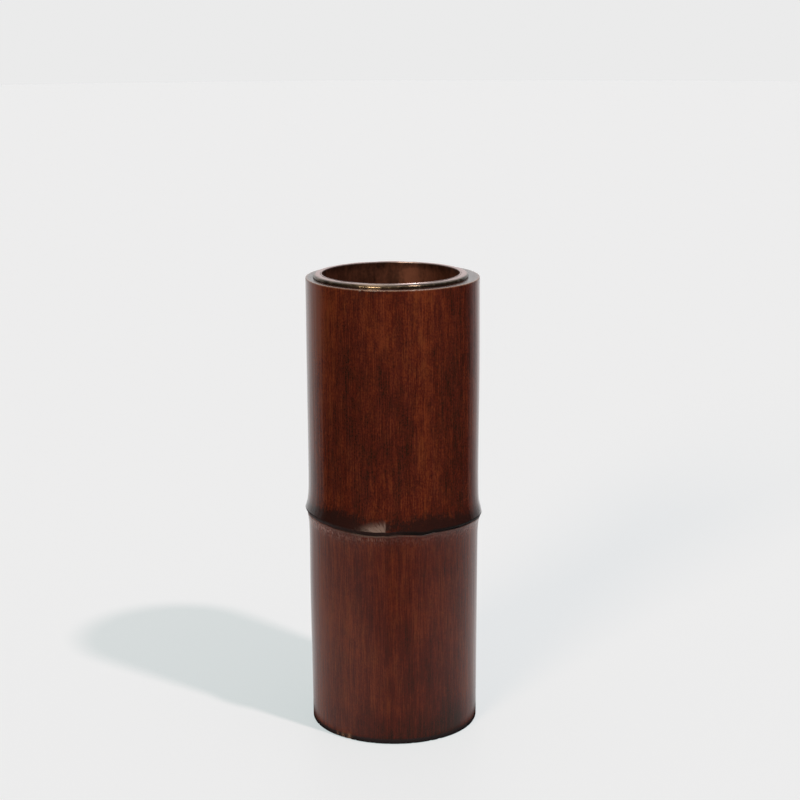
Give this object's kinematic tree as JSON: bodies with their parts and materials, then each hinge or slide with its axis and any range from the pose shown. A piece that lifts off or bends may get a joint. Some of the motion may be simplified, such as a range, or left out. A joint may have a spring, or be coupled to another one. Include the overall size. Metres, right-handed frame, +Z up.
{
  "type": "bamboo vase",
  "caption": "Cylindrical flower vase sawn from one length of bamboo, closed by its node half way up, with a lift-out copper liner hanging in the upper hollow.",
  "frame": {"origin": "middle of the vase's foot, on the surface that it stands on", "axes": "+Z up along the culm, towards the mouth; -Y is the front, the side with the pared bud; +X is to the right seen from the front"},
  "size_m": [0.1016, 0.1016, 0.2632],
  "materials": {
    "lacquered_bamboo": "smoked red-brown bamboo under a thin gloss lacquer",
    "liner_copper": "aged copper, brown with worn bright edges"
  },
  "bodies": {
    "culm": {"culm": "lacquered_bamboo"},
    "liner": {"liner_tube": "liner_copper", "liner_base": "liner_copper", "liner_rim": "liner_copper"}
  },
  "joints": [
    {"name": "liner_lift", "type": "slide", "parent": "culm", "child": "liner", "axis": [0, 0, 1], "range_m": [0, 0.13]}
  ]
}
